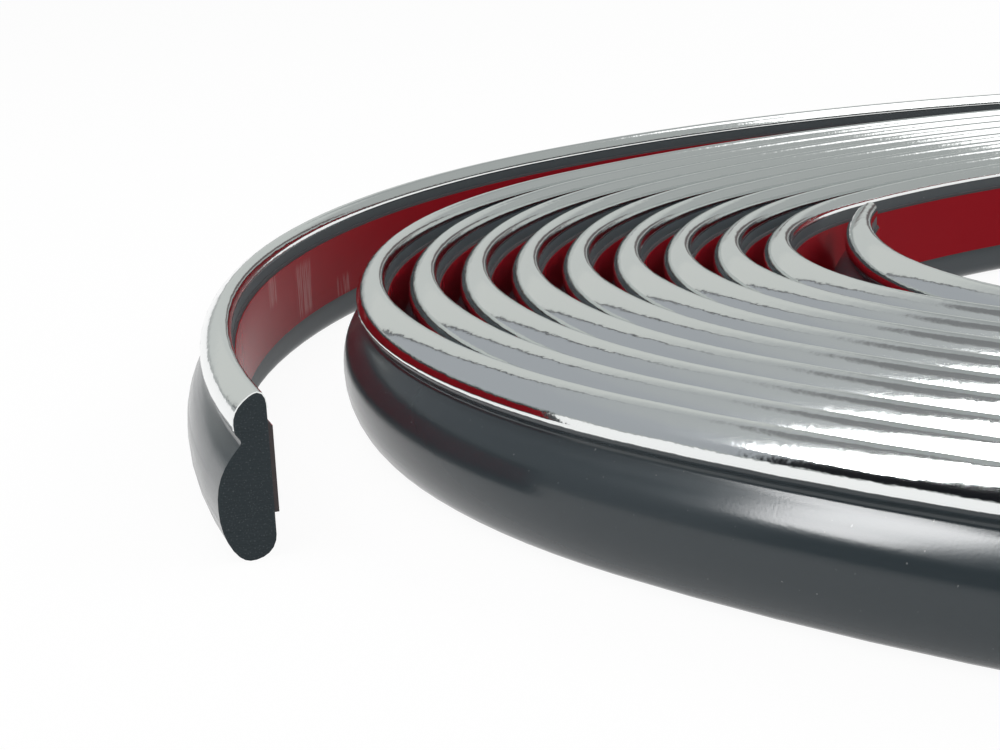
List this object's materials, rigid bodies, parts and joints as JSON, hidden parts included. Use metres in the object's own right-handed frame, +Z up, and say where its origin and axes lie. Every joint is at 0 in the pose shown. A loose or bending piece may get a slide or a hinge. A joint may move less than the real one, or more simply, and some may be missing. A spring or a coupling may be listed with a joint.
{
  "type": "car body side moulding",
  "caption": "Coil of self-adhesive side moulding: black plastic strip with a bright bead, foam tape and red liner, to trim a car door or panel.",
  "frame": {"origin": "on the floor, under the middle of the coil's overall outline", "axes": "+Z up; +X along the oval's long way; the cut outer end is on the -X side and faces -Y"},
  "size_m": [0.4788, 0.3512, 0.0222],
  "materials": {
    "black_plastic": "satin black extruded plastic",
    "bright_film": "mirror-bright metallised film",
    "foam_tape": "matt foam",
    "red_liner": "glossy red film"
  },
  "bodies": {
    "root": {"moulding_body": "black_plastic", "chrome_film": "bright_film", "adhesive_tape": "foam_tape", "release_liner": "red_liner"}
  },
  "joints": []
}
